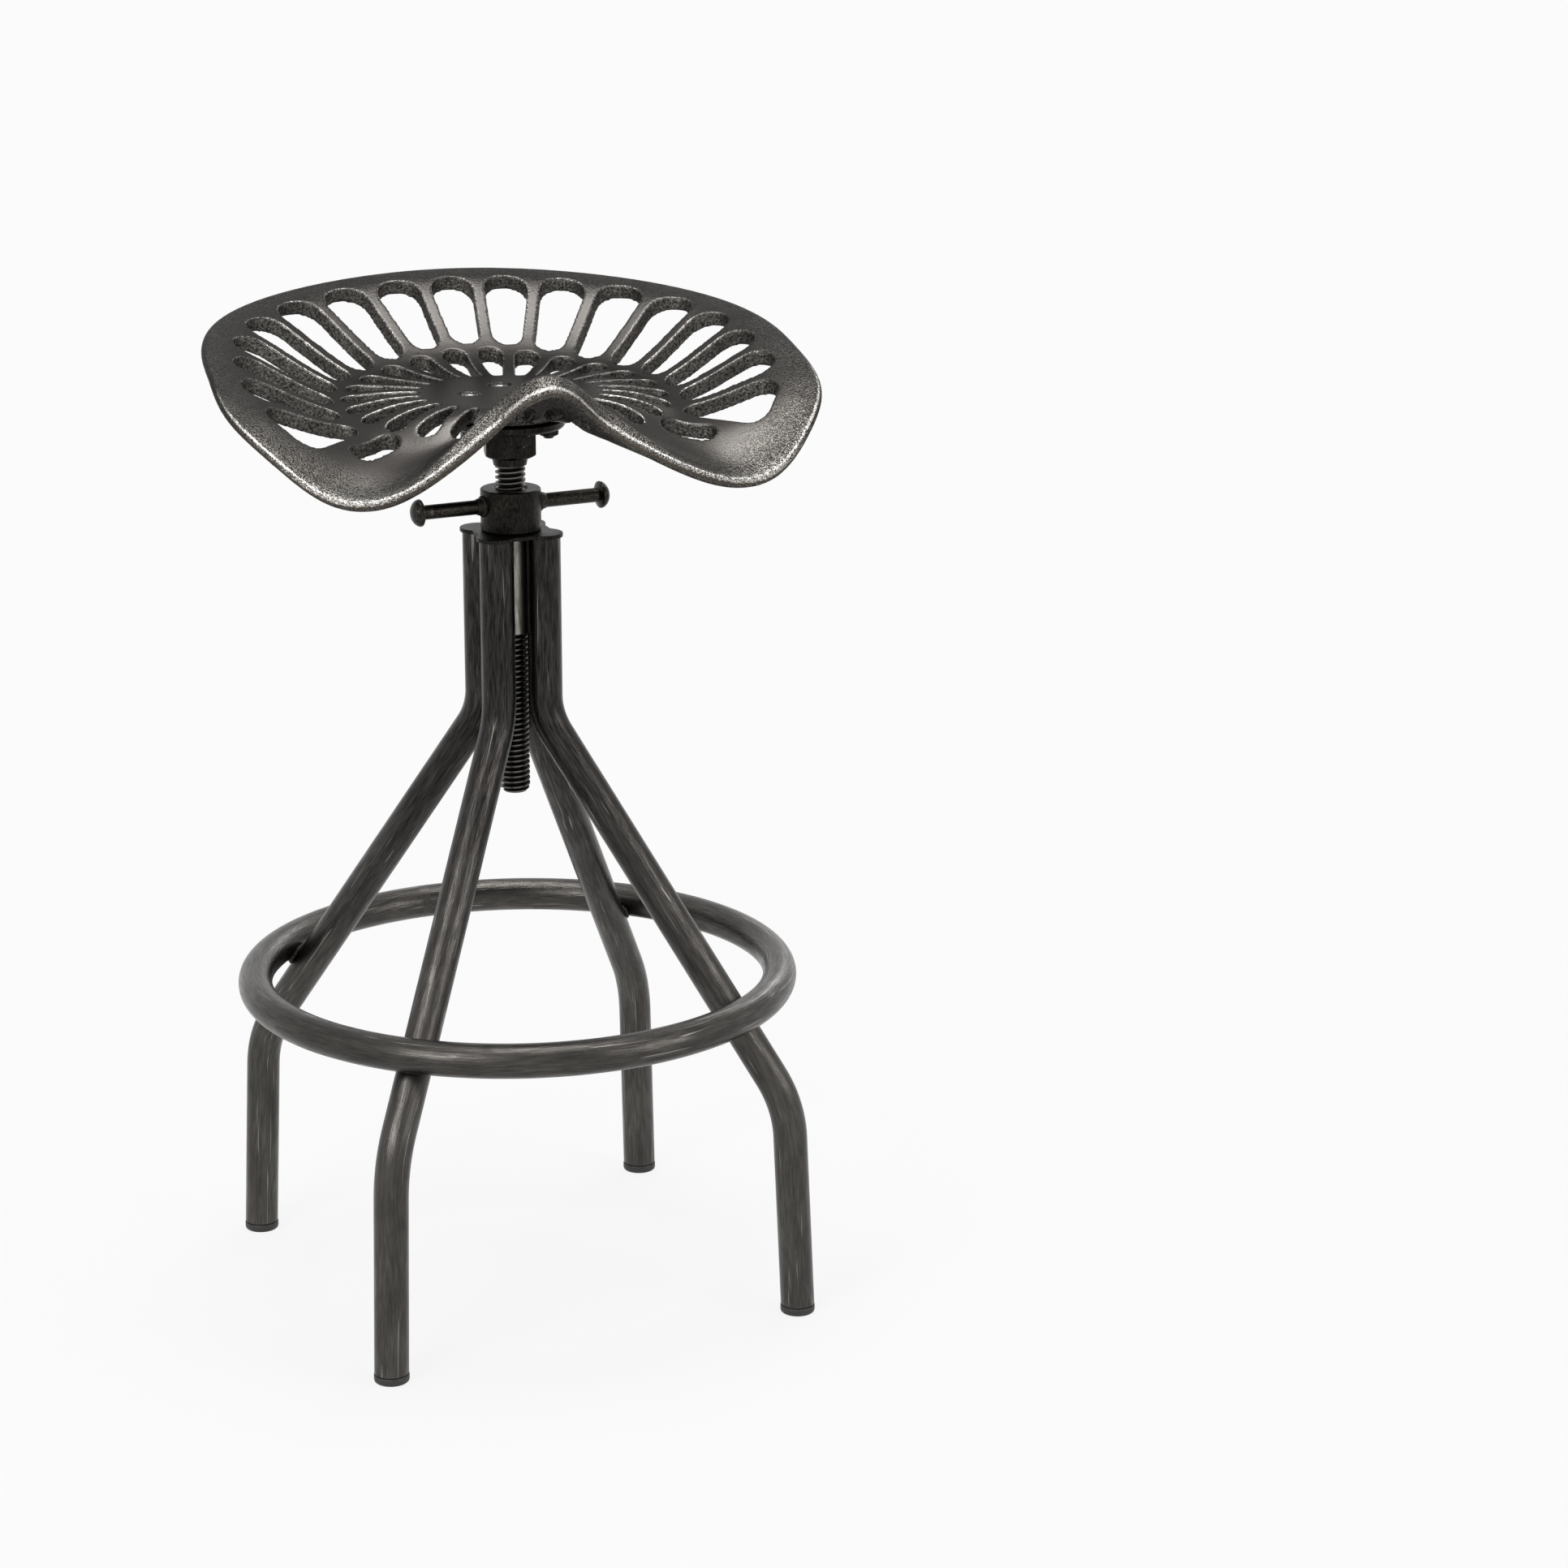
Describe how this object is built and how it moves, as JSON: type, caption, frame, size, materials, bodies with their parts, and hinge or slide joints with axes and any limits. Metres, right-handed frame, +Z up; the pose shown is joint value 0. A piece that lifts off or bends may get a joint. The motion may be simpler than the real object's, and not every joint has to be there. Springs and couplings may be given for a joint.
{
  "type": "tractor seat stool",
  "caption": "Adjustable metal stool: slotted cast tractor seat on a screw column with a T-handled lock nut, four bent tube legs and a foot ring.",
  "frame": {"origin": "on the floor, on the axis of the screw, under the middle of the seat's flat disc", "axes": "+Z up along the screw, -Y towards the front of the seat (its pommel), +X to the sitter's left when they face the front; the legs stand at 51.2 degrees and every 90 degrees from +X"},
  "size_m": [0.4363, 0.4202, 0.7355],
  "materials": {
    "leg_tube": "dark gunmetal tube, long fine streaks along it",
    "ring_tube": "dark gunmetal tube, fine streaks round the ring",
    "foot_cap": "matt dark foot plug",
    "bare_sleeve": "bare bright tube with brown weld marks",
    "dark_plate": "dark gunmetal plate",
    "dark_collar": "dark turned collar, worn on its edges",
    "dark_handle": "dark turned handle",
    "black_thread": "black oiled thread",
    "dark_flange": "dark machined flange",
    "black_screw": "black oxide fastener",
    "cast_seat": "dark pewter casting with a fine speckled grain, lighter where worn"
  },
  "bodies": {
    "base": {"leg_front_left": "leg_tube", "leg_front_right": "leg_tube", "leg_back_left": "leg_tube", "leg_back_right": "leg_tube", "foot_cap_front_left": "foot_cap", "foot_cap_front_right": "foot_cap", "foot_cap_back_left": "foot_cap", "foot_cap_back_right": "foot_cap", "foot_ring": "ring_tube", "screw_sleeve": "bare_sleeve", "top_plate": "dark_plate"},
    "lock_nut": {"lock_collar": "dark_collar", "lock_handle_left": "dark_handle", "lock_handle_right": "dark_handle"},
    "screw": {"screw_rod": "black_thread"},
    "seat": {"seat_flange": "dark_flange", "set_screw": "black_screw", "seat_bolts": "black_screw", "seat_washers": "dark_flange", "seat_nuts": "black_screw", "seat_pan": "cast_seat"}
  },
  "joints": [
    {"name": "seat_height", "type": "slide", "parent": "base", "child": "screw", "axis": [0, 0, 1], "range_m": [-0.0161, 0.1201]},
    {"name": "seat_turn", "type": "hinge", "parent": "screw", "child": "seat", "pos_m": [0, 0, 0.64], "axis": [0, 0, 1], "range_deg": [-1440, 10800]},
    {"name": "lock_nut_turn", "type": "hinge", "parent": "base", "child": "lock_nut", "pos_m": [0, 0, 0.577], "axis": [0, 0, 1], "range_deg": [0, 360]}
  ],
  "couplings": [
    {"joint": "seat_height", "follows": "seat_turn", "m_per_rad": 0.00063662}
  ]
}
